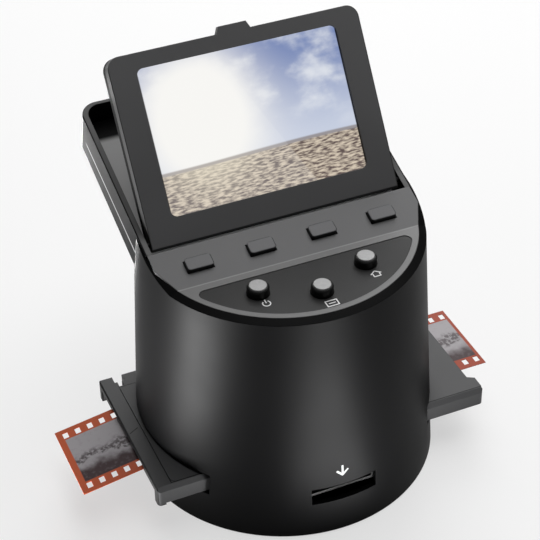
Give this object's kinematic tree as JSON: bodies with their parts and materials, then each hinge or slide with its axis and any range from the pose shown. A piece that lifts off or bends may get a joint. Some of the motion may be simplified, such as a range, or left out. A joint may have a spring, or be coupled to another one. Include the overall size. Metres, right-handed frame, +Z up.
{
  "type": "film negative scanner",
  "caption": "Desktop film negative scanner: round body, hinged tilting screen that folds into a tray, push buttons, sliding film holder with a 35 mm strip and a card slot.",
  "frame": {"origin": "centre of the round body on the plane the feet stand on", "axes": "+Z up, the buttons and card slot face -Y, film runs along X"},
  "size_m": [0.1624, 0.1278, 0.1573],
  "materials": {
    "black_shell": "satin moulded plastic",
    "panel_grey": "fine textured plastic",
    "inset_dark": "fine textured plastic",
    "key_grey": "satin plastic",
    "button_black": "gloss plastic",
    "cap_silver": "satin metal",
    "lid_grey": "fine textured plastic",
    "screen_glass": "clear pane over a lit picture",
    "display": "display module",
    "holder_black": "satin moulded plastic",
    "film_base": "orange film base",
    "rubber_black": "matt rubber",
    "steel": "plain steel",
    "board_green": "circuit board",
    "switch_black": "switch body",
    "chip_black": "chip package",
    "inner_black": "moulded plastic inside",
    "white_plastic": "opal plastic",
    "lens_glass": "clear lens",
    "ribbon_brown": "flexible ribbon"
  },
  "bodies": {
    "scanner_body": {"body_shell": "black_shell", "tray_housing": "black_shell", "deck_panel": "panel_grey", "pad_inset": "inset_dark", "key_board": "board_green", "key_switches": "switch_black", "pad_board": "board_green", "pad_switches": "switch_black", "base_plate": "black_shell", "base_screws": "steel", "light_box": "inner_black", "diffuser": "white_plastic", "led_board": "board_green", "backlight_lamps": "white_plastic", "rear_rail": "inner_black", "front_rail": "inner_black", "holder_spring": "steel", "camera_bridge": "inner_black", "bridge_screws": "steel", "camera_mount": "inner_black", "lens_barrel": "inner_black", "lens": "lens_glass", "sensor_board": "board_green", "image_sensor": "chip_black", "main_board": "board_green", "main_processor": "chip_black", "usb_socket": "steel", "card_board": "board_green", "card_socket": "steel", "display_ribbon": "ribbon_brown", "left_front_foot": "rubber_black", "left_rear_foot": "rubber_black", "right_front_foot": "rubber_black", "right_rear_foot": "rubber_black", "middle_foot": "rubber_black"},
    "screen_lid": {"lid_front": "lid_grey", "lid_back": "black_shell", "screen_pane": "screen_glass", "display_panel": "display", "lid_hinge_pins": "steel"},
    "soft_key_1": {"soft_key_1": "key_grey"},
    "soft_key_2": {"soft_key_2": "key_grey"},
    "soft_key_3": {"soft_key_3": "key_grey"},
    "soft_key_4": {"soft_key_4": "key_grey"},
    "power_button": {"power_button": "button_black", "power_button_cap": "cap_silver"},
    "scan_button": {"scan_button": "button_black", "scan_button_cap": "cap_silver"},
    "home_button": {"home_button": "button_black", "home_button_cap": "cap_silver"},
    "film_holder": {"film_holder": "holder_black", "holder_cover": "holder_black", "cover_hinge_pins": "steel"},
    "film_strip": {"film_strip": "film_base"}
  },
  "joints": [
    {"name": "lid_hinge", "type": "hinge", "parent": "scanner_body", "child": "screen_lid", "pos_m": [0, 0.00388, 0.10033], "axis": [1, 0, 0], "range_deg": [-39.3, 15]},
    {"name": "soft_key_1_press", "type": "slide", "parent": "scanner_body", "child": "soft_key_1", "axis": [0, -0.299, 0.9542], "range_m": [-0.0008, 0], "stiffness_N_per_m": 900, "springref_m": 0.0004},
    {"name": "soft_key_2_press", "type": "slide", "parent": "scanner_body", "child": "soft_key_2", "axis": [0, -0.299, 0.9542], "range_m": [-0.0008, 0], "stiffness_N_per_m": 900, "springref_m": 0.0004},
    {"name": "soft_key_3_press", "type": "slide", "parent": "scanner_body", "child": "soft_key_3", "axis": [0, -0.299, 0.9542], "range_m": [-0.0008, 0], "stiffness_N_per_m": 900, "springref_m": 0.0004},
    {"name": "soft_key_4_press", "type": "slide", "parent": "scanner_body", "child": "soft_key_4", "axis": [0, -0.299, 0.9542], "range_m": [-0.0008, 0], "stiffness_N_per_m": 900, "springref_m": 0.0004},
    {"name": "power_button_press", "type": "slide", "parent": "scanner_body", "child": "power_button", "axis": [0, -0.0279, 0.9996], "range_m": [-0.0008, 0], "stiffness_N_per_m": 900, "springref_m": 0.0004},
    {"name": "scan_button_press", "type": "slide", "parent": "scanner_body", "child": "scan_button", "axis": [0, -0.0279, 0.9996], "range_m": [-0.0008, 0], "stiffness_N_per_m": 900, "springref_m": 0.0004},
    {"name": "home_button_press", "type": "slide", "parent": "scanner_body", "child": "home_button", "axis": [0, -0.0279, 0.9996], "range_m": [-0.0008, 0], "stiffness_N_per_m": 900, "springref_m": 0.0004},
    {"name": "film_holder_slide", "type": "slide", "parent": "scanner_body", "child": "film_holder", "axis": [1, 0, 0], "range_m": [-0.06, 0.011]},
    {"name": "film_feed", "type": "slide", "parent": "film_holder", "child": "film_strip", "axis": [1, 0, 0], "range_m": [-0.01, 0.01]}
  ]
}
